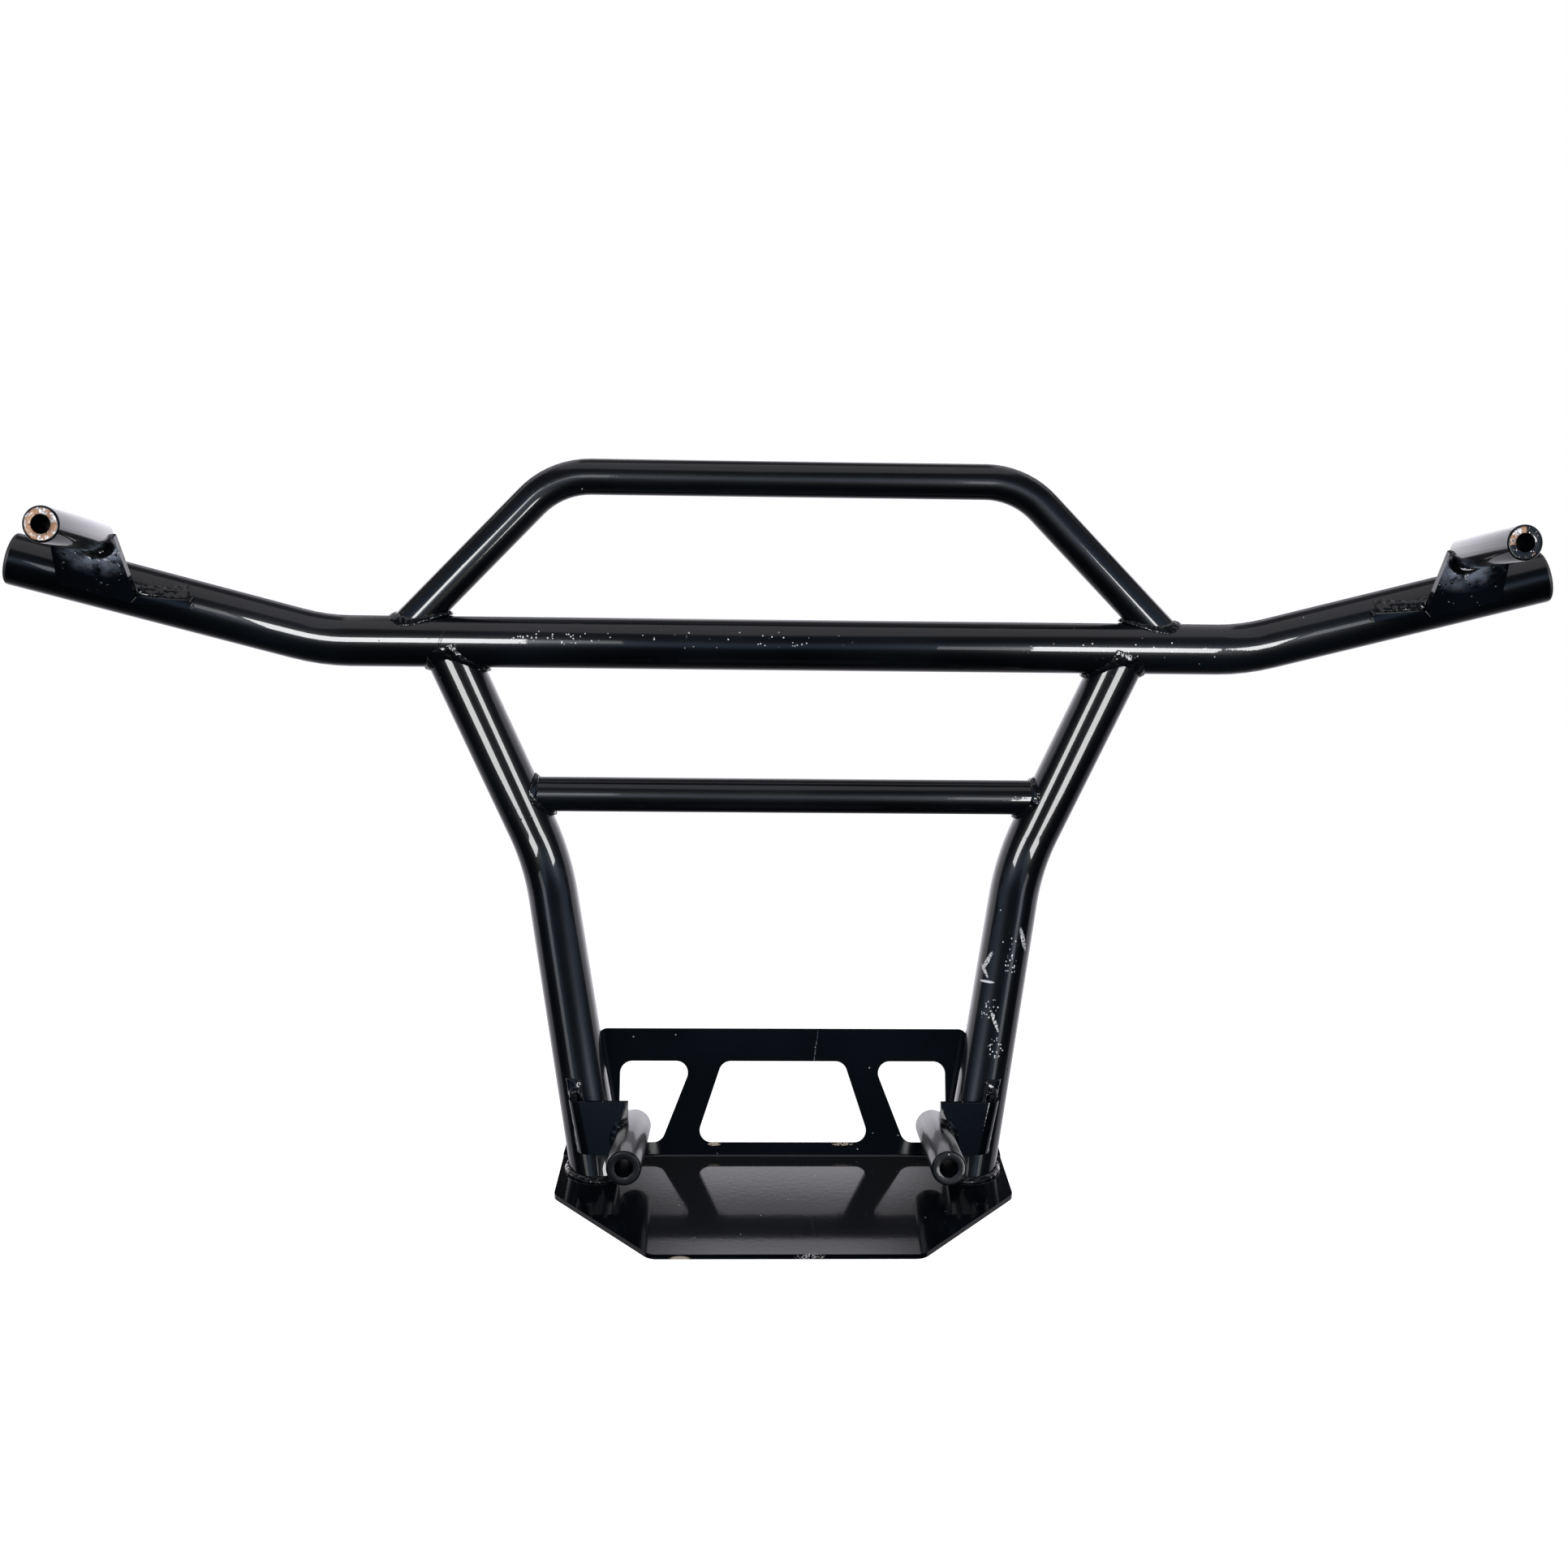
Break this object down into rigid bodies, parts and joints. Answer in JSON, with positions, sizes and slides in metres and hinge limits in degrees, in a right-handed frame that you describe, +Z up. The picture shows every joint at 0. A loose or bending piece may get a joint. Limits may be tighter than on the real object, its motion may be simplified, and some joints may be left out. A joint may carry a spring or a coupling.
{
  "type": "atv front bumper",
  "caption": "Tubular steel front bumper with an upper hoop, bent legs, a cross bar, a windowed folded skid plate and welded mounting sleeves",
  "frame": {"origin": "midway between the rear end faces of the two lower mounting sleeves, on their axes", "axes": "+X to the right along the main tube, +Y forward away from the vehicle, +Z up; the bolts run along Y"},
  "size_m": [0.93, 0.1739, 0.4554],
  "materials": {
    "frame_paint": "gloss",
    "end_plug": "satin"
  },
  "bodies": {
    "root": {"cross_bar": "frame_paint", "end_plug_left": "end_plug", "end_plug_right": "end_plug", "hoop_tube": "frame_paint", "leg_tube_left": "frame_paint", "leg_tube_right": "frame_paint", "lower_bracket_left": "frame_paint", "lower_bracket_right": "frame_paint", "lower_sleeve_left": "frame_paint", "lower_sleeve_right": "frame_paint", "main_tube": "frame_paint", "skid_plate": "frame_paint", "upper_bracket_left": "frame_paint", "upper_bracket_right": "frame_paint", "upper_sleeve_left": "frame_paint", "upper_sleeve_right": "frame_paint", "weld_cross_bar_left": "frame_paint", "weld_cross_bar_right": "frame_paint", "weld_hoop_left": "frame_paint", "weld_hoop_right": "frame_paint", "weld_leg_foot_left": "frame_paint", "weld_leg_foot_right": "frame_paint", "weld_leg_top_left": "frame_paint", "weld_leg_top_right": "frame_paint", "weld_lower_bracket_left": "frame_paint", "weld_lower_bracket_right": "frame_paint", "weld_lower_sleeve_left": "frame_paint", "weld_lower_sleeve_right": "frame_paint", "weld_upper_bracket_left": "frame_paint", "weld_upper_bracket_right": "frame_paint", "weld_upper_sleeve_left": "frame_paint", "weld_upper_sleeve_right": "frame_paint"}
  },
  "joints": []
}
